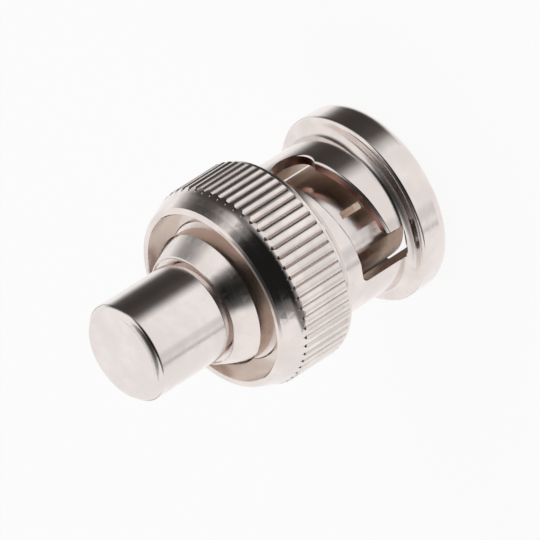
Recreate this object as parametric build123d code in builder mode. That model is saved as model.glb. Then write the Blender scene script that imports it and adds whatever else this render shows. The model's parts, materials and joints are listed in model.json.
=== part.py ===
from build123d import *
from math import asin, cos, radians, sin
import os

os.makedirs("parts", exist_ok=True)

# Male bayonet terminator, in millimetres.
# The part stands on the mating face of its coupling nut: that face is z = 0,
# the cap points up along +Z, and the axis of the connector is the Z axis.
# The mouth of one bayonet slot is on +X, and the other is opposite.

# Coupling nut, outside, from the mating face up
rim_overhang = 1.13
rim_length = 2.24
rim_round = 0.85
rim_chamfer_height = 0.30
rim_chamfer_depth = 0.21
neck_fillet = 0.60
neck_wall = 0.73
neck_length = 5.00
shoulder_length = 1.06
knurl_stand = 1.57
knurl_length = 4.05
bevel_length = 1.85
bevel_drop = 0.66
bevel_band = 0.67
bevel_band_drop = 0.25
edge_break = 0.10

# Coupling nut, inside
jack_gap = 1.05
bore_lead_in = 0.30
lug_groove_depth = 0.65
recess_wall = 1.13
recess_depth = 1.50
mouth_edge = 0.14
lip_thickness = 0.65

# Straight knurl of the nut
knurl_count = 60
knurl_ridge_land = 0.06
knurl_ridge_round = 0.40
knurl_valley_width = 0.04
knurl_valley_depth = 0.015
knurl_front_band = 0.30
knurl_band_step = 0.03
knurl_end_slope = 0.14
knurl_pit_depth = 0.14
knurl_pit_from_knurl_end = 0.20

# Bayonet slots of the nut
slot_count = 2
entry_width = 2.40
entry_bridge = 0.34
entry_length = 3.87
entry_corner = 0.40
track_width = 2.70
track_set_back = 1.40
track_rise = 1.55
track_turn = 91.3
detent_radius = 1.42
detent_drop = 0.30
slot_chamfer = 0.16
detent_chamfer = 0.14

# Sprung stack between the nut and the plug body
thrust_thickness = 0.20
wave_thickness = 0.16
wave_height = 0.75
wave_count = 3
stack_play = 0.02
washer_inner_play = 0.11
washer_outer_play = 0.12
washer_band = 0.45

# Plug body
running_play = 0.06
body_bore_radius = 2.90
spigot_wall = 0.55
body_neck_wall = 1.24
flange_thickness = 0.50
spigot_length = 2.10

# Outer contact
contact_wall = 0.45
contact_inner_step = 0.15
contact_root_step = 0.20
contact_recess = 1.30
contact_tip_round = 0.22
contact_slot_count = 4
contact_slot_width = 0.47
contact_slot_length = 4.50
contact_slot_angle = 40.0

# Front gasket
gasket_thickness = 1.00
gasket_play = 0.05

# Centre pin
pin_radius = 0.675
pin_recess = 1.90
pin_taper_length = 0.75
pin_tip_radius = 0.30
pin_shoulder = 0.20
pin_stop_shoulder = 0.45
pin_stop_length = 1.10
pin_cup_wall = 0.63
pin_cup_depth = 1.60

# Insulators
insulator_face = 5.90
insulator_nose_gap = 0.92
insulator_collar_length = 1.00
insulator_play = 0.03
front_insulator_seat = 1.60
rear_insulator_length = 2.60

# Retaining ring and clamp collar behind the nut's lip
stop_ring_gap = 1.02
stop_ring_thickness = 0.30
collar_wall = 0.63
collar_straight = 1.36
collar_cone = 1.54
collar_end_step = 0.42
collar_end_wall = 0.90
collar_edge = 0.10

# End cap
cap_step = 0.35
cap_gap = 0.20
cap_length = 6.12
cap_chamfer_length = 0.46
cap_chamfer_depth = 0.42
cap_front_edge = 0.12
cap_spigot_wall = 0.45
cap_spigot_seat = 0.30
cap_spigot_length = 2.00
cap_end_wall = 1.20

# Resistor and its connections
resistor_radius = 1.10
resistor_cap_wall = 0.12
resistor_cap_length = 0.90
lead_radius = 0.27
lead_hole_play = 0.05
front_lead_gap = 0.60
rear_lead_gap = 0.42
tube_play = 0.08
tube_wall = 0.25
tube_overhang = 0.15
ferrule_thickness = 0.90
solder_height = 0.30
solder_spread = 0.48

# Heights worked out from the sizes above
rim_back_z = rim_length + rim_chamfer_height
entry_z = rim_back_z + entry_bridge
entry_depth = entry_z + entry_length
track_start = entry_depth - track_set_back
detent_height = track_start + track_rise - detent_drop
neck_z = rim_back_z + neck_fillet
shoulder_z = neck_z + neck_length
knurl_z = shoulder_z + shoulder_length
bevel_z = knurl_z + knurl_length
nut_top = bevel_z + bevel_length
recess_z = nut_top - recess_depth
lip_front_z = recess_z - lip_thickness
thrust_z = lip_front_z - thrust_thickness
flange_rear_z = thrust_z - wave_height
flange_front_z = flange_rear_z - flange_thickness
gasket_z = flange_front_z - gasket_thickness
spigot_z = flange_front_z - spigot_length
stop_top = recess_z + stop_ring_thickness
collar_edge_z = stop_top + collar_straight
collar_top = collar_edge_z + collar_cone
body_top = collar_top - collar_end_wall
cap_z = collar_top + cap_gap
cap_top = cap_z + cap_length
cap_spigot_z = cap_z - cap_spigot_length
ferrule_top = cap_top - cap_end_wall
ferrule_z = ferrule_top - ferrule_thickness
insulator_collar_z = spigot_z - insulator_collar_length
insulator_seat_z = spigot_z + front_insulator_seat
pin_stop_z = insulator_seat_z
pin_stop_top = pin_stop_z + pin_stop_length
rear_insulator_top = insulator_seat_z + rear_insulator_length
pin_top = rear_insulator_top + pin_cup_depth / 2
resistor_z = pin_top + front_lead_gap
resistor_top = ferrule_z - rear_lead_gap

# Radii worked out from the bore of the body outwards
spigot_radius = body_bore_radius + spigot_wall
contact_radius = spigot_radius + contact_wall
contact_root_radius = contact_radius - contact_root_step
finger_radius = spigot_radius - contact_inner_step
body_neck_radius = body_bore_radius + body_neck_wall
bore_radius = contact_radius + jack_gap
lug_groove_radius = bore_radius + lug_groove_depth
neck_radius = bore_radius + neck_wall
rim_radius = neck_radius + rim_overhang
knurl_radius = neck_radius + knurl_stand
recess_radius = knurl_radius - recess_wall
lip_bore_radius = body_neck_radius + running_play
flange_radius = bore_radius - running_play
washer_outer_radius = bore_radius - washer_outer_play
washer_inner_radius = body_neck_radius + washer_inner_play
stop_ring_radius = recess_radius - stop_ring_gap
collar_radius = body_neck_radius + collar_wall
cap_spigot_radius = body_bore_radius + cap_spigot_seat
cap_bore_radius = cap_spigot_radius - cap_spigot_wall
cap_radius = cap_spigot_radius + cap_step
collar_end_radius = cap_radius + collar_end_step

# Radii worked out from the axis outwards
pin_stem_radius = pin_radius + pin_shoulder
pin_stop_radius = pin_stem_radius + pin_stop_shoulder
lead_hole_radius = lead_radius + lead_hole_play
pin_cup_radius = lead_hole_radius + pin_cup_wall
solder_radius = lead_radius + solder_spread
resistor_cap_radius = resistor_radius + resistor_cap_wall
body_seat_radius = body_bore_radius - insulator_play
insulator_nose_radius = finger_radius - insulator_nose_gap


# A half section of straight lines through (radius, z) points
def half_section(*points):
    with BuildSketch(Plane.XZ) as section:
        with BuildLine():
            Polyline(*points, close=True)
        make_face()
    return section.sketch


# A rectangular half section, for a plain ring or a rod
def ring_section(z_low, z_high, inner, outer):
    return half_section((inner, z_low), (outer, z_low), (outer, z_high), (inner, z_high))


# The plane through the axis at an angle: x runs outwards and y runs up
def radial_plane(angle):
    outwards = (cos(radians(angle)), sin(radians(angle)), 0)
    return Plane(origin=(0, 0, 0), x_dir=outwards, z_dir=(outwards[1], -outwards[0], 0))


# The plane that faces outwards at an angle, a distance from the axis: x runs round and y runs up
def facing_plane(angle, distance, height):
    outwards = (cos(radians(angle)), sin(radians(angle)), 0)
    origin = (outwards[0] * distance, outwards[1] * distance, height)
    return Plane(origin=origin, x_dir=(-outwards[1], outwards[0], 0), z_dir=outwards)


# Bayonet slot cutter: a straight mouth, a rising track and a round detent
cut_inner = bore_radius - 0.6
cut_outer = knurl_radius + 1.0
chamfer_inner = neck_radius - slot_chamfer
chamfer_outer = neck_radius + slot_chamfer


# Height of the middle of the track, at an angle from the slot's mouth
def track_height(angle):
    return track_start + track_rise * (max(angle, 0) / track_turn) ** 1.2


# Radial section of the track, wider at the neck's outer edge by its chamfer
def track_section(angle, width):
    middle = track_height(angle)
    wide = width / 2 + 2 * slot_chamfer
    with BuildSketch(radial_plane(angle)) as section:
        with BuildLine():
            Polyline(
                (cut_inner, middle - width / 2),
                (chamfer_inner, middle - width / 2),
                (chamfer_outer, middle - wide),
                (cut_outer, middle - wide),
                (cut_outer, middle + wide),
                (chamfer_outer, middle + wide),
                (chamfer_inner, middle + width / 2),
                (cut_inner, middle + width / 2),
                close=True,
            )
        make_face()
    return section.sketch


track_steps = 6
track_end_width = track_width * 0.62
track_angles = [track_turn * 0.9 * step / (track_steps - 1) for step in range(track_steps)]

with BuildPart() as slot_track:
    sections = [track_section(angle, track_width) for angle in track_angles]
    sections.append(track_section(track_turn, track_end_width))
    loft(sections)

mouth_length = entry_depth - entry_z
mouth_middle = entry_z + mouth_length / 2
with BuildPart() as slot_mouth:
    with BuildSketch(facing_plane(0, cut_inner, mouth_middle)):
        RectangleRounded(entry_width, mouth_length, entry_corner)
    extrude(amount=cut_outer - cut_inner)
    with BuildSketch(facing_plane(0, chamfer_inner, mouth_middle + slot_chamfer)):
        RectangleRounded(entry_width, mouth_length - 2 * slot_chamfer, entry_corner)
    extrude(amount=2 * slot_chamfer, taper=-45)
    with BuildSketch(facing_plane(0, 0, 0)):
        with Locations((0, mouth_middle / 2)):
            Rectangle(entry_width, mouth_middle)
    extrude(amount=lug_groove_radius)

with BuildPart() as slot_detent:
    with BuildSketch(facing_plane(track_turn, cut_inner, detent_height)):
        Circle(detent_radius)
    extrude(amount=cut_outer - cut_inner)
    with BuildSketch(facing_plane(track_turn, neck_radius - detent_chamfer, detent_height)):
        Circle(detent_radius)
    extrude(amount=2 * detent_chamfer, taper=-45)

# Knurl groove between two ridges with rounded shoulders, drawn about the groove on +X
shoulder_angle = radians(180 / knurl_count) - knurl_ridge_land / 2 / knurl_radius
shoulder_distance = knurl_radius - knurl_ridge_round + 0.003
shoulder_x = shoulder_distance * cos(shoulder_angle) - knurl_radius
shoulder_y = shoulder_distance * sin(shoulder_angle)
valley_turn = asin((shoulder_y - knurl_valley_width / 2) / knurl_ridge_round)
valley_x = shoulder_x + knurl_ridge_round * cos(valley_turn) - knurl_valley_depth
groove_floor = knurl_radius + valley_x


# A point on the shoulder of a ridge, at a turn from the radial line towards the valley
def shoulder_point(side, turn):
    x = shoulder_x + knurl_ridge_round * cos(turn)
    y = shoulder_y - knurl_ridge_round * sin(turn)
    return (x, side * y)


with BuildSketch() as knurl_groove:
    with BuildLine():
        for side in (1, -1):
            start = shoulder_point(side, -shoulder_angle)
            Line((knurl_ridge_round, start[1]), start)
            ThreePointArc(
                start, shoulder_point(side, valley_turn / 2), shoulder_point(side, valley_turn)
            )
            Line(shoulder_point(side, valley_turn), (valley_x, 0))
        wide = shoulder_point(1, -shoulder_angle)[1]
        Line((knurl_ridge_round, -wide), (knurl_ridge_round, wide))
    make_face()

# One pit at the rear end of a knurl groove: a four-sided pyramid, point inwards
pit_z = bevel_z + knurl_pit_from_knurl_end
with BuildPart() as knurl_pit:
    with BuildSketch(facing_plane(0, groove_floor - knurl_pit_depth, pit_z)):
        Rectangle(0.02, 0.02, rotation=45)
    extrude(amount=knurl_radius - groove_floor + knurl_pit_depth, taper=-26)

# Coupling nut
with BuildPart() as coupling_nut:
    with BuildSketch(Plane.XZ):
        with BuildLine():
            front_edge = rim_radius - rim_round
            back_edge = rim_radius - rim_chamfer_depth
            fillet_edge = neck_radius + neck_fillet
            band_radius = groove_floor + knurl_band_step
            ridge_z = knurl_z + knurl_front_band
            band_end = knurl_radius - bevel_band_drop
            bevel_end = knurl_radius - bevel_drop
            Polyline(
                (lip_bore_radius, lip_front_z),
                (bore_radius, lip_front_z),
                (bore_radius, bore_lead_in),
                (bore_radius + bore_lead_in, 0),
                (front_edge, 0),
            )
            JernArc(start=(front_edge, 0), tangent=(1, 0), radius=rim_round, arc_size=90)
            Polyline(
                (rim_radius, rim_round),
                (rim_radius, rim_length),
                (back_edge, rim_back_z),
                (fillet_edge, rim_back_z),
            )
            TangentArc((neck_radius, neck_z), (fillet_edge, rim_back_z), tangent=(0, -1))
            Polyline(
                (neck_radius, neck_z),
                (neck_radius, shoulder_z),
                (band_radius - edge_break, knurl_z),
                (band_radius, knurl_z + edge_break),
                (band_radius, ridge_z),
                (knurl_radius, ridge_z + knurl_end_slope),
                (knurl_radius, bevel_z),
                (band_end, bevel_z + bevel_band),
                (bevel_end, nut_top - mouth_edge),
                (bevel_end - mouth_edge, nut_top),
                (recess_radius + mouth_edge / 2, nut_top),
                (recess_radius, nut_top - mouth_edge / 2),
                (recess_radius, recess_z),
                (lip_bore_radius, recess_z),
                (lip_bore_radius, lip_front_z),
            )
        make_face()
    revolve(axis=Axis.Z)
    with PolarLocations(0, slot_count):
        add(slot_track.part, mode=Mode.SUBTRACT)
        add(slot_mouth.part, mode=Mode.SUBTRACT)
        add(slot_detent.part, mode=Mode.SUBTRACT)
    with BuildSketch(Plane.XY.offset(ridge_z + edge_break / 10)):
        with PolarLocations(knurl_radius, knurl_count, start_angle=180 / knurl_count):
            add(knurl_groove.sketch)
    extrude(amount=knurl_length + bevel_length, mode=Mode.SUBTRACT)
    with PolarLocations(0, knurl_count, start_angle=180 / knurl_count):
        add(knurl_pit.part, mode=Mode.SUBTRACT)

# Flat washer that the nut's lip turns on
with BuildPart() as thrust_washer:
    revolve(
        ring_section(thrust_z, lip_front_z, washer_inner_radius, washer_outer_radius),
        axis=Axis.Z,
    )


# Radial section of the wave washer at an angle
def wave_section(angle):
    middle_z = (thrust_z + flange_rear_z) / 2
    swing = (wave_height - wave_thickness) / 2 - stack_play
    middle = middle_z + swing * cos(radians(wave_count * angle))
    outer = washer_outer_radius
    with BuildSketch(radial_plane(angle)) as section:
        with Locations((outer - washer_band / 2, middle)):
            Rectangle(washer_band, wave_thickness)
    return section.sketch


# Wave washer that pushes the nut back
wave_steps = 8
wave_arc = 360 / wave_count
with BuildPart() as wave_washer:
    for wave in range(wave_count):
        angles = [wave_arc * (wave + step / wave_steps) for step in range(wave_steps + 1)]
        loft([wave_section(angle) for angle in angles])

# Plug body: a spigot for the outer contact, the flange under the washers and a neck
with BuildPart() as plug_body:
    revolve(
        half_section(
            (body_bore_radius, spigot_z),
            (spigot_radius, spigot_z),
            (spigot_radius, flange_front_z),
            (flange_radius, flange_front_z),
            (flange_radius, flange_rear_z),
            (body_neck_radius, flange_rear_z),
            (body_neck_radius, body_top),
            (cap_spigot_radius, body_top),
            (cap_spigot_radius, cap_spigot_z),
            (body_bore_radius, cap_spigot_z),
        ),
        axis=Axis.Z,
    )

# Outer contact: a sprung sleeve, slotted from its tip, with a step inside for the insulator
with BuildPart() as outer_contact:
    tip_z = contact_recess
    revolve(
        half_section(
            (finger_radius + contact_tip_round / 2, tip_z),
            (contact_radius - contact_tip_round, tip_z),
            (contact_radius - contact_tip_round / 3, tip_z + contact_tip_round / 3),
            (contact_radius, tip_z + contact_tip_round),
            (contact_radius, gasket_z),
            (contact_root_radius, gasket_z),
            (contact_root_radius, flange_front_z),
            (spigot_radius, flange_front_z),
            (spigot_radius, insulator_collar_z),
            (finger_radius, insulator_collar_z),
            (finger_radius, tip_z + contact_tip_round / 2),
        ),
        axis=Axis.Z,
    )
    for slot in range(contact_slot_count):
        angle = contact_slot_angle + slot * 360 / contact_slot_count
        with BuildSketch(facing_plane(angle, 0, tip_z)):
            Rectangle(contact_slot_width, 2 * contact_slot_length)
        extrude(amount=contact_radius + 1, mode=Mode.SUBTRACT)

# Silicone gasket against the flange, around the root of the contact
with BuildPart() as front_gasket:
    revolve(
        ring_section(
            gasket_z, flange_front_z, contact_root_radius + gasket_play, flange_radius - gasket_play
        ),
        axis=Axis.Z,
    )

# Front insulator, clamped at its collar between the contact and the spigot
with BuildPart() as front_insulator:
    revolve(
        half_section(
            (pin_stem_radius, insulator_face),
            (insulator_nose_radius, insulator_face),
            (insulator_nose_radius, insulator_collar_z),
            (spigot_radius - insulator_play, insulator_collar_z),
            (spigot_radius - insulator_play, spigot_z),
            (body_seat_radius, spigot_z),
            (body_seat_radius, insulator_seat_z),
            (pin_stem_radius, insulator_seat_z),
        ),
        axis=Axis.Z,
    )

# Rear insulator, with a pocket for the stop of the pin
with BuildPart() as rear_insulator:
    revolve(
        half_section(
            (pin_stop_radius, insulator_seat_z),
            (body_seat_radius, insulator_seat_z),
            (body_seat_radius, rear_insulator_top),
            (pin_cup_radius, rear_insulator_top),
            (pin_cup_radius, pin_stop_top),
            (pin_stop_radius, pin_stop_top),
        ),
        axis=Axis.Z,
    )

# Centre pin, with its solder cup at the rear
with BuildPart() as centre_pin:
    cup_floor_z = pin_top - pin_cup_depth
    revolve(
        half_section(
            (0, pin_recess),
            (pin_tip_radius, pin_recess),
            (pin_radius, pin_recess + pin_taper_length),
            (pin_radius, insulator_face),
            (pin_stem_radius, insulator_face),
            (pin_stem_radius, pin_stop_z),
            (pin_stop_radius, pin_stop_z),
            (pin_stop_radius, pin_stop_top),
            (pin_cup_radius, pin_stop_top),
            (pin_cup_radius, pin_top),
            (lead_hole_radius, pin_top),
            (lead_hole_radius, cup_floor_z),
            (0, cup_floor_z),
        ),
        axis=Axis.Z,
    )

# Ring behind the nut's lip
with BuildPart() as stop_ring:
    revolve(
        half_section(
            (body_neck_radius, recess_z),
            (stop_ring_radius, recess_z),
            (stop_ring_radius, stop_top - edge_break),
            (stop_ring_radius - edge_break, stop_top),
            (body_neck_radius, stop_top),
        ),
        axis=Axis.Z,
    )

# Clamp collar, pressed on the neck of the body, with a coned back
with BuildPart() as clamp_collar:
    revolve(
        half_section(
            (body_neck_radius, stop_top),
            (collar_radius, stop_top),
            (collar_radius, collar_edge_z),
            (collar_end_radius, collar_top - collar_edge / 2),
            (collar_end_radius - collar_edge / 2, collar_top),
            (collar_end_radius - collar_edge, collar_top),
            (collar_end_radius - 2 * collar_edge, collar_top - collar_edge),
            (cap_spigot_radius, collar_top - collar_edge),
            (cap_spigot_radius, body_top),
            (body_neck_radius, body_top),
        ),
        axis=Axis.Z,
    )

# End cap, a deep cup pressed into the collar
with BuildPart() as end_cap:
    revolve(
        half_section(
            (cap_bore_radius, cap_spigot_z),
            (cap_spigot_radius, cap_spigot_z),
            (cap_spigot_radius, cap_z),
            (cap_radius - cap_front_edge, cap_z),
            (cap_radius, cap_z + cap_front_edge),
            (cap_radius, cap_top - cap_chamfer_length),
            (cap_radius - cap_chamfer_depth, cap_top),
            (0, cap_top),
            (0, ferrule_top),
            (cap_bore_radius, ferrule_top),
        ),
        axis=Axis.Z,
    )

# Ground ferrule, against the cap's end wall
with BuildPart() as ground_ferrule:
    revolve(
        ring_section(ferrule_z, ferrule_top, lead_hole_radius, cap_bore_radius), axis=Axis.Z
    )

# Resistor: a ceramic rod with a metal cap on each end
rod_z = resistor_z + resistor_cap_wall
rod_top = resistor_top - resistor_cap_wall
with BuildPart() as resistor_rod:
    revolve(ring_section(rod_z, rod_top, 0, resistor_radius), axis=Axis.Z)

with BuildPart() as resistor_cap_front:
    revolve(
        half_section(
            (0, resistor_z),
            (resistor_cap_radius, resistor_z),
            (resistor_cap_radius, resistor_z + resistor_cap_length),
            (resistor_radius, resistor_z + resistor_cap_length),
            (resistor_radius, rod_z),
            (0, rod_z),
        ),
        axis=Axis.Z,
    )

with BuildPart() as resistor_cap_rear:
    revolve(
        half_section(
            (0, resistor_top),
            (resistor_cap_radius, resistor_top),
            (resistor_cap_radius, resistor_top - resistor_cap_length),
            (resistor_radius, resistor_top - resistor_cap_length),
            (resistor_radius, rod_top),
            (0, rod_top),
        ),
        axis=Axis.Z,
    )

# Leads: the front one into the pin's cup, the rear one through the ferrule
with BuildPart() as resistor_lead_front:
    revolve(ring_section(cup_floor_z, resistor_z, 0, lead_radius), axis=Axis.Z)

with BuildPart() as resistor_lead_rear:
    revolve(ring_section(resistor_top, ferrule_top, 0, lead_radius), axis=Axis.Z)

# Sleeve of insulating tube over the resistor
with BuildPart() as insulating_tube:
    tube_inner = resistor_cap_radius + tube_play
    revolve(
        ring_section(
            resistor_z - tube_overhang,
            resistor_top + tube_overhang,
            tube_inner,
            tube_inner + tube_wall,
        ),
        axis=Axis.Z,
    )

# Solder at the pin's cup and at the ferrule
with BuildPart() as solder_front:
    revolve(
        half_section(
            (lead_radius, pin_top),
            (pin_cup_radius, pin_top),
            (lead_radius, pin_top + solder_height),
        ),
        axis=Axis.Z,
    )

with BuildPart() as solder_rear:
    revolve(
        half_section(
            (lead_radius, ferrule_z),
            (solder_radius, ferrule_z),
            (lead_radius, ferrule_z - solder_height),
        ),
        axis=Axis.Z,
    )

pieces = {
    "coupling_nut": coupling_nut,
    "thrust_washer": thrust_washer,
    "wave_washer": wave_washer,
    "plug_body": plug_body,
    "outer_contact": outer_contact,
    "front_gasket": front_gasket,
    "front_insulator": front_insulator,
    "rear_insulator": rear_insulator,
    "centre_pin": centre_pin,
    "stop_ring": stop_ring,
    "clamp_collar": clamp_collar,
    "end_cap": end_cap,
    "ground_ferrule": ground_ferrule,
    "resistor_rod": resistor_rod,
    "resistor_cap_front": resistor_cap_front,
    "resistor_cap_rear": resistor_cap_rear,
    "resistor_lead_front": resistor_lead_front,
    "resistor_lead_rear": resistor_lead_rear,
    "insulating_tube": insulating_tube,
    "solder_front": solder_front,
    "solder_rear": solder_rear,
}
for name, piece in pieces.items():
    piece.part.label = name
    export_step(piece.part, f"parts/{name}.step")
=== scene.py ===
import json
import math

import bpy
import numpy as np
from mathutils import Matrix, Vector

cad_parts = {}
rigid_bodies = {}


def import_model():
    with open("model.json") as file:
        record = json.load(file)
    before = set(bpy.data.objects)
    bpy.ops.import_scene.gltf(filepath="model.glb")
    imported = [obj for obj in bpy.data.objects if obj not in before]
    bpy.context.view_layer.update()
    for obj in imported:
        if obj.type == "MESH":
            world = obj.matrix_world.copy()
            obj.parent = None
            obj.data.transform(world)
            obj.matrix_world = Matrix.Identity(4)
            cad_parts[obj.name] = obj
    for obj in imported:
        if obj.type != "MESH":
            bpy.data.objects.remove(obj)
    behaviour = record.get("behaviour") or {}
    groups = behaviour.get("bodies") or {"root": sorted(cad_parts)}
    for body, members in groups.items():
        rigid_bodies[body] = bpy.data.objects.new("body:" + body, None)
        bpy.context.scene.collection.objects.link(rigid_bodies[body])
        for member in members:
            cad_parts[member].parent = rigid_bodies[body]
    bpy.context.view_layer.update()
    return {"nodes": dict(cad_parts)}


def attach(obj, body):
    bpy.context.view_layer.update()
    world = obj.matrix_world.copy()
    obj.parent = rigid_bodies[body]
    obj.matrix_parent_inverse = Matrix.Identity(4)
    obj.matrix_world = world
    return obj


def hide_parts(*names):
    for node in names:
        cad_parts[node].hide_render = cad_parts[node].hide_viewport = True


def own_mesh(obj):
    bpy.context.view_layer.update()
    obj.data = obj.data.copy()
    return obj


for thing in list(bpy.data.objects):
    bpy.data.objects.remove(thing)
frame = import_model()
nodes = frame["nodes"]
collection = bpy.context.scene.collection

MM = 0.001
WHITE = (1, 1, 1, 1)

# Camera: the photograph looks down on the cap end, with the axis running to the lower left
VIEW_AZIMUTH = math.radians(40.0)
VIEW_ELEVATION = math.asin(0.515)
ROLL_COS = 0.8434
ROLL_SIN = 0.5373
PIXELS_PER_MM = 15.33
HALF_PICTURE_PIXELS = 270
AIM_Z = 10.19
AIM_RIGHT_PIXELS = 3.80
AIM_DOWN_PIXELS = 5.98
CAMERA_DISTANCE = 0.9
SENSOR_WIDTH = 36

outwards = Vector((math.cos(VIEW_AZIMUTH), math.sin(VIEW_AZIMUTH), 0))
sideways = Vector((math.sin(VIEW_AZIMUTH), -math.cos(VIEW_AZIMUTH), 0))
upwards = Vector((0, 0, 1))
to_camera = outwards * math.cos(VIEW_ELEVATION) + upwards * math.sin(VIEW_ELEVATION)
flat = outwards * math.sin(VIEW_ELEVATION) - upwards * math.cos(VIEW_ELEVATION)
camera_right = flat * ROLL_COS + sideways * ROLL_SIN
camera_up = flat * ROLL_SIN - sideways * ROLL_COS


def from_camera(x, y, z):
    """A direction as the photograph sees it (right, up, towards the lens), in the row frame."""
    return (camera_right * x + camera_up * y + to_camera * z).normalized()


target = Vector((0, 0, AIM_Z * MM))
target += camera_right * (AIM_RIGHT_PIXELS / PIXELS_PER_MM * MM)
target -= camera_up * (AIM_DOWN_PIXELS / PIXELS_PER_MM * MM)
camera_data = bpy.data.cameras.new("camera")
camera = bpy.data.objects.new("camera", camera_data)
collection.objects.link(camera)
bpy.context.scene.camera = camera
half_width = HALF_PICTURE_PIXELS / PIXELS_PER_MM * MM
camera_data.sensor_width = SENSOR_WIDTH
camera_data.lens = SENSOR_WIDTH / 2 * CAMERA_DISTANCE / half_width
camera_data.clip_start = 0.05
camera_data.clip_end = 5
turn = Matrix((camera_right, camera_up, to_camera)).transposed().to_4x4()
camera.matrix_world = Matrix.Translation(target + to_camera * CAMERA_DISTANCE) @ turn


class Nodes:
    """A node tree, with short calls that add a node and give its output."""

    def __init__(self, tree):
        tree.nodes.clear()
        self.tree = tree

    def add(self, kind, inputs=(), output=0, **settings):
        node = self.tree.nodes.new(kind)
        for name, value in settings.items():
            setattr(node, name, value)
        for key, value in dict(inputs).items():
            socket = node.inputs[key]
            if isinstance(value, bpy.types.NodeSocket):
                self.tree.links.new(value, socket)
            else:
                socket.default_value = value
        return node.outputs[output] if len(node.outputs) else node

    def math(self, operation, a, b=0.0):
        return self.add("ShaderNodeMath", {0: a, 1: b}, operation=operation)

    def hypot(self, a, b):
        squares = self.math("ADD", self.math("MULTIPLY", a, a), self.math("MULTIPLY", b, b))
        return self.math("SQRT", squares)

    def dot(self, vector, direction):
        return self.add(
            "ShaderNodeVectorMath",
            {0: vector, 1: tuple(direction)},
            output="Value",
            operation="DOT_PRODUCT",
        )

    def ramp(self, value, *stops, interpolation="EASE"):
        socket = self.add("ShaderNodeValToRGB", {0: value})
        ramp = socket.node.color_ramp
        ramp.interpolation = interpolation
        while len(ramp.elements) < len(stops):
            ramp.elements.new(0.5)
        for element, (position, shade) in zip(ramp.elements, stops):
            element.position = position
            colour = (shade, shade, shade) if isinstance(shade, (int, float)) else shade
            element.color = (*colour, 1)
        return socket

    def fit(self, value, low, high, to_low=0.0, to_high=1.0, smooth=False):
        return self.add(
            "ShaderNodeMapRange",
            {
                "Value": value,
                "From Min": low,
                "From Max": high,
                "To Min": to_low,
                "To Max": to_high,
            },
            interpolation_type="SMOOTHSTEP" if smooth else "LINEAR",
            clamp=True,
        )

    def mix(self, factor, a, b, blend="MIX"):
        node = self.tree.nodes.new("ShaderNodeMix")
        node.data_type = "RGBA"
        node.blend_type = blend
        factor_input, a_input, b_input = node.inputs[0], node.inputs[6], node.inputs[7]
        for socket, value in ((factor_input, factor), (a_input, a), (b_input, b)):
            if isinstance(value, bpy.types.NodeSocket):
                self.tree.links.new(value, socket)
            elif isinstance(value, tuple):
                socket.default_value = (*value, 1)
            else:
                socket.default_value = value
        return node.outputs[2]

    def noise(self, vector, scale, detail, roughness):
        return self.add(
            "ShaderNodeTexNoise",
            {"Vector": vector, "Scale": scale, "Detail": detail, "Roughness": roughness},
        )


def new_material(name):
    """An empty material and its node tree."""
    material = bpy.data.materials.new(name)
    material.use_nodes = True
    return material, Nodes(material.node_tree)


# Studio: a white room with the dark gaps that bright metal needs to show its form
OVERHEAD_GAP = from_camera(-0.17, 0.96, -0.17)
ACROSS_AXIS = from_camera(0.84, 0.54, 0)
ALONG_AXIS = from_camera(0.54, -0.84, 0)
HORIZON_SPOT = from_camera(0.96, -0.14, 0.23)
HORIZON_FROM = 0.985
HORIZON_SHADE = 0.80
FADE_BEHIND = -0.2
FULL_REACH = 2.0

world = bpy.data.worlds.new("studio")
bpy.context.scene.world = world
world.use_nodes = True
room = Nodes(world.node_tree)
direction = room.add("ShaderNodeTexCoord", output="Generated")
overhead_shade = room.ramp(
    room.fit(room.dot(direction, OVERHEAD_GAP), 0.6, 1.0),
    (0.20, 1.0),
    (0.45, 0.60),
    (0.62, 0.24),
    (0.75, (0.095, 0.088, 0.085)),
    (1.0, (0.050, 0.046, 0.044)),
    interpolation="LINEAR",
)
across = room.dot(direction, ACROSS_AXIS)
along = room.dot(direction, ALONG_AXIS)
towards = room.dot(direction, to_camera)


def dark_patch(centre, radii, *stops):
    """A soft dark oval around the lens. It ends at FULL_REACH radii and fades out behind."""
    u = room.math("DIVIDE", room.math("SUBTRACT", across, centre[0]), radii[0])
    v = room.math("DIVIDE", room.math("SUBTRACT", along, centre[1]), radii[1])
    behind = room.fit(towards, 0.0, FADE_BEHIND, 0.0, FULL_REACH)
    reach = room.math("ADD", room.hypot(u, v), behind)
    return room.ramp(room.math("MULTIPLY", reach, 1 / FULL_REACH), *stops)


main_patch = dark_patch((0.36, 0.10), (0.36, 0.93), (0.32, 0.013), (0.46, 0.25), (0.56, 1.0))
side_patch = dark_patch(
    (-0.38, 0.12), (0.66, 0.68), (0.12, 0.035), (0.27, 0.09), (0.41, 0.32), (0.52, 1.0)
)
horizon = room.fit(
    room.dot(direction, HORIZON_SPOT), HORIZON_FROM, 1.0, 1.0, HORIZON_SHADE, smooth=True
)
shade = overhead_shade
for gap in (main_patch, side_patch, horizon):
    shade = room.mix(1.0, shade, gap, "MULTIPLY")
seen = room.add("ShaderNodeLightPath", output="Is Camera Ray")
room_light = room.add("ShaderNodeBackground", {"Color": shade, "Strength": 1.0})
backdrop = room.add("ShaderNodeBackground", {"Color": WHITE, "Strength": 1.0})
mixed = room.add("ShaderNodeMixShader", {0: seen, 1: room_light, 2: backdrop})
room.add("ShaderNodeOutputWorld", {"Surface": mixed})

# Floor: white where the lens sees it, with the soft shadow of the part, and not mirrored by it
FLOOR_HALF = 1.5
FLOOR_DROP = 0.02 * MM
FLOOR_COLOUR = (0.93, 0.925, 0.92, 1)
FLOOR_LIFT = 0.91
# Inside the standing sleeve no light reaches the floor, between these distances from the axis
SLEEVE_SHADE = (3.0 * MM, 3.25 * MM)

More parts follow.
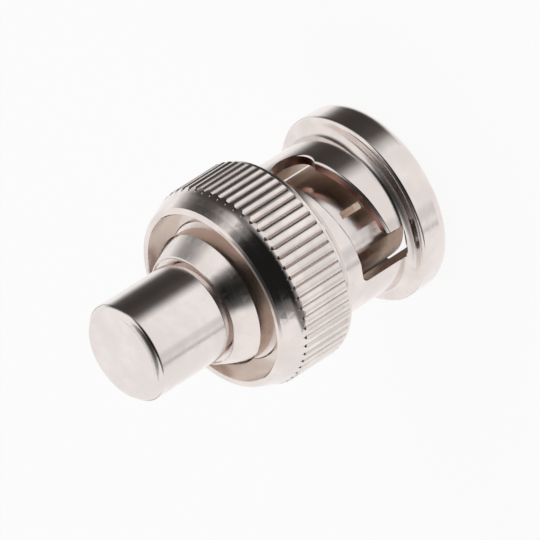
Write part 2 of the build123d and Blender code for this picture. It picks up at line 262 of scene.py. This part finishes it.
floor_mesh = bpy.data.meshes.new("floor")
floor_mesh.from_pydata(
    [
        (-FLOOR_HALF, -FLOOR_HALF, 0),
        (FLOOR_HALF, -FLOOR_HALF, 0),
        (FLOOR_HALF, FLOOR_HALF, 0),
        (-FLOOR_HALF, FLOOR_HALF, 0),
    ],
    [],
    [(0, 1, 2, 3)],
)
floor = bpy.data.objects.new("floor", floor_mesh)
collection.objects.link(floor)
floor.location.z = -FLOOR_DROP
floor_material, paper = new_material("floor")
floor_mesh.materials.append(floor_material)
light_path = paper.add("ShaderNodeLightPath").node
matt = paper.add("ShaderNodeBsdfDiffuse", {"Color": FLOOR_COLOUR})
glow = paper.add("ShaderNodeEmission", {"Color": WHITE, "Strength": 1.0})
spot = paper.add("ShaderNodeTexCoord", output="Object")
away = paper.add("ShaderNodeVectorMath", {0: spot}, output="Value", operation="LENGTH")
lift = paper.math(
    "MULTIPLY", light_path.outputs["Is Camera Ray"], paper.fit(away, *SLEEVE_SHADE, 0.0, FLOOR_LIFT)
)
lifted = paper.add("ShaderNodeMixShader", {0: lift, 1: matt, 2: glow})
clear = paper.add("ShaderNodeBsdfTransparent")
mirrored = paper.math(
    "MAXIMUM", light_path.outputs["Is Glossy Ray"], light_path.outputs["Is Transmission Ray"]
)
covered = paper.add("ShaderNodeMixShader", {0: mirrored, 1: lifted, 2: clear})
paper.add("ShaderNodeOutputMaterial", {"Surface": covered})

# One large soft lamp from the upper left, which the metal doesn't mirror
LAMP_DISTANCE = 0.6
lamp_data = bpy.data.lights.new("soft_lamp", "AREA")
lamp_data.shape = "DISK"
lamp_data.size = 0.5
lamp_data.energy = 0.55
lamp = bpy.data.objects.new("soft_lamp", lamp_data)
collection.objects.link(lamp)
lamp_from = from_camera(-0.55, 0.55, 0.62)
lamp.location = lamp_from * LAMP_DISTANCE
lamp.rotation_euler = lamp_from.to_track_quat("Z", "Y").to_euler()
lamp.visible_glossy = False

# Rounded profiles of the nut: radius and height of the arc's centre, and its size, in millimetres
RIM_ARC = (5.96, 0.85, 0.85)
NECK_ARC = (6.28, 3.14, 0.60)

# Cut edges that the photograph shows softly rounded: beyond this radius, between these heights,
# the face tilts from the first to the last angle, in degrees
RIM_EDGE_Z = (2.24, 2.54)
RIDGE_END_Z = (9.50, 9.64)
NUT_EDGES = (
    (6.5, RIM_EDGE_Z, 2.0, 74.0),
    (6.5, RIDGE_END_Z, -62.0, 0.0),
    (6.5, (13.25, 13.92), 0.0, 21.0),
)
CAP_EDGES = ((3.1, (22.66, 23.12), 4.0, 86.0),)
EDGE_SLACK = 0.002
OUTWARD_FACING = 0.3

# Knurl: the pitch in degrees, and the centres of the round shoulders beside each groove
RIDGE_PITCH = 6.0
RIDGE_FROM_RADIUS = 6.9
SHOULDER_CENTRE_RADIUS = 6.853
SHOULDER_ANGLE = 2.763
UPRIGHT = 0.05

# Chamfers of the slots: lowest radius, inner edge, outer edge and highest radius
CHAMFER_RADII = (5.50, 5.54, 5.66, 5.72)
CHAMFER_TILTS = (12.0, 62.0)
CHAMFER_WIDTH = 0.02
CHAMFER_FACING = (0.25, 0.95)

# How far a face may be off its profile, in millimetres, and still count as turned
ARC_SLACK = 0.02
STRAIGHT_SLACK = 0.025
MAX_TWIST = 0.12
TINY = 1e-4


def rounded_slope(z, reach, edges):
    """The tilt, in degrees, at each corner of a face on a rounded edge, from its height."""
    for beyond, (low, high), from_tilt, to_tilt in edges:
        if reach > beyond and z.min() > low - EDGE_SLACK and z.max() < high + EDGE_SLACK:
            return [from_tilt + (to_tilt - from_tilt) * (h - low) / (high - low) for h in z]
    return None


def cut_normals(place, normal):
    """Normals for the corners of the nut's cut faces: ridge shoulders and slot chamfers."""
    middle = place.mean(axis=0)
    reach = math.hypot(middle[0], middle[1])
    out = (middle[0] / reach, middle[1] / reach)
    facing = normal[0] * out[0] + normal[1] * out[1]
    radii = np.hypot(place[:, 0], place[:, 1])
    on_ridge = middle[2] > RIDGE_END_Z[0] and reach > RIDGE_FROM_RADIUS
    if on_ridge and abs(normal[2]) < UPRIGHT:
        angle = math.degrees(math.atan2(middle[1], middle[0]))
        groove = (math.floor(angle / RIDGE_PITCH) + 0.5) * RIDGE_PITCH
        side = 1.0 if angle > groove else -1.0
        centre = math.radians(groove + side * SHOULDER_ANGLE)
        cx = SHOULDER_CENTRE_RADIUS * math.cos(centre)
        cy = SHOULDER_CENTRE_RADIUS * math.sin(centre)
        return [Vector((x - cx, y - cy, 0)).normalized() for x, y, _ in place]
    low, inner, outer, high = CHAMFER_RADII
    within = radii.min() > low and radii.max() < high
    wide = radii.max() - radii.min() > CHAMFER_WIDTH
    if within and wide and CHAMFER_FACING[0] < facing < CHAMFER_FACING[1]:
        wall = Vector((normal[0] - facing * out[0], normal[1] - facing * out[1], normal[2]))
        wall.normalize()
        result = []
        for (x, y, _), radius in zip(place, radii):
            share = min(max((radius - inner) / (outer - inner), 0.0), 1.0)
            tilt = math.radians(CHAMFER_TILTS[0] * share + CHAMFER_TILTS[1] * (1 - share))
            away = Vector((x / radius, y / radius, 0))
            result.append((wall * math.sin(tilt) + away * math.cos(tilt)).normalized())
        return result
    return None


def profile_slope(r, z, across_face, nz, arcs):
    """The profile's normal (outwards, up) at each corner of a turned face, or None if it's cut."""
    for arc_r, arc_z, arc_size in arcs:
        off = np.hypot(r - arc_r, z - arc_z) - arc_size
        if np.abs(off).max() < ARC_SLACK and z.max() - z.min() > TINY:
            outside = across_face * (r.mean() - arc_r) + nz * (z.mean() - arc_z) > 0
            sign = 1.0 if outside else -1.0
            return [(sign * (a - arc_r), sign * (b - arc_z)) for a, b in zip(r, z)]
    length = math.hypot(across_face, nz)
    na, nb = across_face / length, nz / length
    off = (r - r[0]) * na + (z - z[0]) * nb
    return None if np.abs(off).max() > STRAIGHT_SLACK else [(na, nb)] * len(r)


def turned_normals(obj, *arcs, edges=(), cut=False):
    """Gives turned faces the exact normals of their profile, so that they mirror cleanly."""
    mesh = obj.data
    points = np.empty(len(mesh.vertices) * 3, np.float32)
    mesh.vertices.foreach_get("co", points)
    points = points.reshape(-1, 3).astype(float) / MM
    radii = np.hypot(points[:, 0], points[:, 1])
    normals = np.array([tuple(corner.vector) for corner in mesh.corner_normals])
    turned = np.zeros(len(mesh.polygons), bool)
    for face in mesh.polygons:
        corners = list(face.vertices)
        r = radii[corners]
        z = points[corners, 2]
        middle = points[corners].mean(axis=0)
        reach = math.hypot(middle[0], middle[1])
        if reach < TINY:
            continue
        nx, ny, nz = face.normal
        across_face = (nx * middle[0] + ny * middle[1]) / reach
        round_face = (ny * middle[0] - nx * middle[1]) / reach
        exact = cut_normals(points[corners], face.normal) if cut else None
        if exact:
            for loop, vector in zip(face.loop_indices, exact):
                normals[loop] = vector
            continue
        if abs(round_face) > MAX_TWIST:
            continue
        slope = profile_slope(r, z, across_face, nz, arcs)
        if slope is None:
            continue
        tilts = rounded_slope(z, reach, edges) if across_face > OUTWARD_FACING else None
        if tilts:
            slope = [(math.cos(math.radians(t)), math.sin(math.radians(t))) for t in tilts]
        turned[face.index] = True
        for loop, corner, (na, nb) in zip(face.loop_indices, corners, slope):
            here = radii[corner]
            if here < TINY:
                normals[loop] = (0, 0, 1 if nz > 0 else -1)
                continue
            length = math.hypot(na, nb)
            ux, uy = points[corner, 0] / here, points[corner, 1] / here
            normals[loop] = (na * ux / length, na * uy / length, nb / length)
    mesh.polygons.foreach_set("use_smooth", np.ones(len(mesh.polygons), bool))
    mesh.normals_split_custom_set([tuple(n) for n in normals])
    return turned


# Noises of the finishes: scale, detail and roughness
FINE_RINGS = (9.0, 3.0, 0.6)
BROAD_RINGS = (2.2, 2.0, 0.5)
CLOUDS = (420.0, 4.0, 0.55)
SMALL_MARKS = (2600.0, 2.0, 0.5)
MOTTLE = (380.0, 4.0, 0.6)
GRAIN = (5200.0, 2.0, 0.5)
RING_WANDER = 0.35
CLOUD_DEPTH = 1.6
MARK_SHADE = 0.55
MOTTLE_SHADE = 0.90
MOTTLE_GLOSS = 0.06
# Brown of the painted shade in cloudy patches of the finishes inside recesses
CREVICE_SHADE_COLOUR = (0.2, 0.13, 0.09)
METAL_RELIEF = 0.0016 * MM
GRAIN_RELIEF = 0.004 * MM
SCATTER_DEPTH = 0.3 * MM


def darker(colour, factor):
    return tuple(c * factor for c in colour)


def metal(name, colour, roughness, lines, cloud=0.06, crevice_shade=0.0, groove_shade=None):
    """Turned and plated metal: fine rings from the lathe, a faint cloud in its polish, small marks.

    A lower radius, an upper radius and a darker colour paint shade into the knurl's grooves, below
    these radii.
    A strength mixes brown painted shade into cloudy patches of the finishes inside recesses.
    """
    material, tree = new_material(name)
    place = tree.add("ShaderNodeTexCoord", output="Object")
    x, y, z = tree.add("ShaderNodeSeparateXYZ", {0: place}).node.outputs
    radius = tree.hypot(x, y)
    rings = tree.add(
        "ShaderNodeCombineXYZ",
        {
            0: tree.math("DIVIDE", radius, MM),
            1: tree.math("MULTIPLY", tree.math("ARCTAN2", y, x), RING_WANDER),
            2: tree.math("DIVIDE", z, MM),
        },
    )
    fine = tree.noise(rings, *FINE_RINGS)
    broad = tree.noise(rings, *BROAD_RINGS)
    clouds = tree.noise(place, *CLOUDS)
    marks = tree.noise(place, *SMALL_MARKS)
    dark = darker(colour, 1.0 - CLOUD_DEPTH * cloud)
    tone = tree.mix(tree.fit(clouds, 0.38, 0.66, smooth=True), dark, colour)
    tone = tree.mix(tree.fit(marks, 0.70, 0.80, 0.0, 0.35), tone, darker(colour, MARK_SHADE))
    # Painted shade: brown mixed into cloudy patches of the finishes inside recesses
    if crevice_shade:
        tone = tree.mix(tree.fit(clouds, 0.45, 0.62, 0.0, crevice_shade, smooth=True), tone, CREVICE_SHADE_COLOUR)
    # Painted shade: a darker colour below the given radius, in the knurl's grooves
    if groove_shade:
        low, high, groove_shade_colour = groove_shade
        tone = tree.mix(tree.fit(radius, low * MM, high * MM), groove_shade_colour, tone)
    gloss = tree.math("ADD", tree.fit(broad, 0.3, 0.7, -0.03, 0.03), roughness)
    gloss = tree.math("ADD", gloss, tree.fit(clouds, 0.35, 0.7, 0.03, -0.02))
    relief = tree.math("ADD", fine, tree.math("MULTIPLY", broad, 1.5))
    relief = tree.math("ADD", relief, tree.math("MULTIPLY", marks, 0.25))
    bump = tree.add(
        "ShaderNodeBump", {"Strength": lines, "Distance": METAL_RELIEF, "Height": relief}
    )
    shader = tree.add(
        "ShaderNodeBsdfPrincipled",
        {"Base Color": tone, "Metallic": 1.0, "Roughness": gloss, "Normal": bump},
    )
    tree.add("ShaderNodeOutputMaterial", {"Surface": shader})
    return material


NICKEL = (0.835, 0.762, 0.730)
nickel = metal("nickel_turned", NICKEL, 0.11, lines=0.8)
rim_back = metal("rim_back", NICKEL, 0.20, lines=1.3)
# The knurl: a lighter copy of the nickel, a painted brightening, with painted shade in its grooves
knurl_painted_light_and_shade = metal(
    "knurl_painted_light_and_shade",
    (0.90, 0.820, 0.778),
    0.24,
    lines=0.6,
    cloud=0.08,
    groove_shade=(7.09, 7.19, (0.62, 0.545, 0.51)),
)
# Painted shade: a dark brown copy of the nickel in the knurl's pits
painted_pit_shade = metal("knurl_pit_painted_shade", (0.50, 0.43, 0.39), 0.34, lines=0.4, cloud=0.12, crevice_shade=0.5)
# Painted reflection of the red gasket, with painted shade: a dark red-brown copy of the nickel on
# the cam walls of the slots
slot_wall_painted_reflection = metal("slot_wall_painted_reflection", (0.60, 0.33, 0.27), 0.30, lines=0.5, cloud=0.14, crevice_shade=0.3)
# Painted shade: a dark brown copy of the nickel inside the bore
bore_painted_shade = metal("bore_painted_shade", (0.60, 0.48, 0.40), 0.30, lines=0.6, cloud=0.12, crevice_shade=0.3)
recess_metal = metal("recess_metal", (0.85, 0.765, 0.71), 0.16, lines=0.5, cloud=0.10, crevice_shade=0.1)
contact_metal = metal("contact_metal", (0.84, 0.775, 0.745), 0.16, lines=0.5, cloud=0.07)
cap_metal = metal("cap_metal", (0.84, 0.770, 0.740), 0.13, lines=0.35, cloud=0.05)
spring_metal = metal("spring_satin", (0.62, 0.60, 0.56), 0.36, lines=0.5, cloud=0.1)
gold = metal("gold_plate", (0.54, 0.40, 0.31), 0.24, lines=0.4)
brass = metal("brass_turned", (0.78, 0.58, 0.28), 0.28, lines=0.7, cloud=0.1)
tinned = metal("tinned", (0.70, 0.70, 0.69), 0.38, lines=0.5, cloud=0.1)
solder = metal("solder_dull", (0.62, 0.62, 0.61), 0.42, lines=0.2, cloud=0.15)


def matt_material(name, colour, roughness, grain, subsurface=0.0):
    """Cast or turned plastic and rubber, with a faint grain and mottling."""
    material, tree = new_material(name)
    place = tree.add("ShaderNodeTexCoord", output="Object")
    mottle = tree.noise(place, *MOTTLE)
    fine = tree.noise(place, *GRAIN)
    dark = darker(colour, MOTTLE_SHADE)
    tone = tree.mix(tree.fit(mottle, 0.35, 0.68, smooth=True), dark, colour)
    gloss = tree.fit(mottle, 0.3, 0.7, roughness - MOTTLE_GLOSS, roughness + MOTTLE_GLOSS)
    bump = tree.add(
        "ShaderNodeBump", {"Strength": grain, "Distance": GRAIN_RELIEF, "Height": fine}
    )
    shader = tree.add(
        "ShaderNodeBsdfPrincipled",
        {
            "Base Color": tone,
            "Roughness": gloss,
            "Normal": bump,
            "Subsurface Weight": subsurface,
            "Subsurface Scale": SCATTER_DEPTH,
        },
    )
    tree.add("ShaderNodeOutputMaterial", {"Surface": shader})
    return material


ptfe = matt_material("ptfe", (0.90, 0.90, 0.875), 0.48, 0.5, subsurface=0.3)
silicone = matt_material("red_silicone", (0.56, 0.115, 0.075), 0.60, 0.9)
ceramic = matt_material("lacquered_rod", (0.20, 0.36, 0.50), 0.32, 0.4)
tubing = matt_material("tubing", (0.80, 0.75, 0.60), 0.40, 0.4, subsurface=0.2)

looks = {
    "thrust_washer": spring_metal,
    "wave_washer": spring_metal,
    "plug_body": nickel,
    "outer_contact": contact_metal,
    "front_gasket": silicone,
    "front_insulator": ptfe,
    "rear_insulator": ptfe,
    "centre_pin": gold,
    "stop_ring": nickel,
    "clamp_collar": nickel,
    "end_cap": cap_metal,
    "ground_ferrule": brass,
    "resistor_rod": ceramic,
    "resistor_cap_front": tinned,
    "resistor_cap_rear": tinned,
    "resistor_lead_front": tinned,
    "resistor_lead_rear": tinned,
    "insulating_tube": tubing,
    "solder_front": solder,
    "solder_rear": solder,
}
for name, material in looks.items():
    nodes[name].material_slots[0].material = material
    turned_normals(nodes[name], edges=CAP_EDGES if name == "end_cap" else ())

# The wave washer flattens as the nut is pushed, so a piece with its own copy of the mesh stands for
# its node
wave_spring = bpy.data.objects.new("wave_spring", nodes["wave_washer"].data.copy())
collection.objects.link(wave_spring)
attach(wave_spring, "body")
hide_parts("wave_washer")
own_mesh(wave_spring)

nut = nodes["coupling_nut"]
turned = turned_normals(nut, RIM_ARC, NECK_ARC, edges=NUT_EDGES, cut=True)
finishes_and_painted_shades = [nickel, rim_back, knurl_painted_light_and_shade, painted_pit_shade, slot_wall_painted_reflection, bore_painted_shade, recess_metal]
nut.data.materials.clear()
for material in finishes_and_painted_shades:
    nut.data.materials.append(material)

# Where the nut's finishes and painted shades change, in millimetres
CAM_WALL_Z = 2.95
SHOULDER_Z = 8.14
KNURL_Z = 9.20
PIT_Z = 13.15
BEVEL_Z = 13.25
RECESS_Z = 13.59
CUT_OUTSIDE_RADIUS = 5.56
TURNED_OUTSIDE_RADIUS = 5.58
SHOULDER_RADIUS = 5.63
NECK_RADIUS = 5.68
RECESS_RADIUS = 6.14
KNURL_RADIUS = 6.5
RIM_BACK_SLACK = 0.02
CAM_WALL_SLOPE = 0.25
PIT_SLOPE = 0.1
INWARD_FACING = -0.3


def nut_finish_or_painted_shade(face, is_turned):
    """Which material a face of the nut gets, from where it lies: the nickel finishes, a lighter
    knurl with painted shade in its grooves, copies with painted shade in the knurl's pits and the
    bore, and painted reflection on the cam walls.
    """
    centre = face.center / MM
    radius = math.hypot(centre.x, centre.y)
    if centre.z > RECESS_Z and radius < RECESS_RADIUS:
        return recess_metal
    if centre.z > SHOULDER_Z:
        if not is_turned and centre.z > KNURL_Z and radius > KNURL_RADIUS:
            in_pit = abs(face.normal.z) > PIT_SLOPE and centre.z > PIT_Z
            # Painted shade in the knurl's pits
            return painted_pit_shade if in_pit else knurl_painted_light_and_shade
        if radius > RIDGE_FROM_RADIUS and RIDGE_END_Z[0] < centre.z < BEVEL_Z:
            return knurl_painted_light_and_shade
        # Painted shade inside the bore, beyond the shoulder
        return nickel if radius > SHOULDER_RADIUS else bore_painted_shade
    if is_turned:
        behind_rim = RIM_EDGE_Z[1] - RIM_BACK_SLACK < centre.z < NECK_ARC[1]
        if behind_rim and radius > NECK_RADIUS:
            return rim_back
        facing = (face.normal.x * centre.x + face.normal.y * centre.y) / radius
        inside = facing < INWARD_FACING or radius < TURNED_OUTSIDE_RADIUS
        # Painted shade on turned faces inside the bore
        return bore_painted_shade if inside else nickel
    if radius > CUT_OUTSIDE_RADIUS:
        return nickel
    on_cam = face.normal.z > CAM_WALL_SLOPE and centre.z > CAM_WALL_Z
    # Cut faces inside: painted reflection and shade on the cam walls, painted shade on the rest
    return slot_wall_painted_reflection if on_cam else bore_painted_shade


indices = [finishes_and_painted_shades.index(nut_finish_or_painted_shade(face, turned[face.index])) for face in nut.data.polygons]
nut.data.polygons.foreach_set("material_index", indices)

bpy.context.scene.view_settings.view_transform = "Standard"
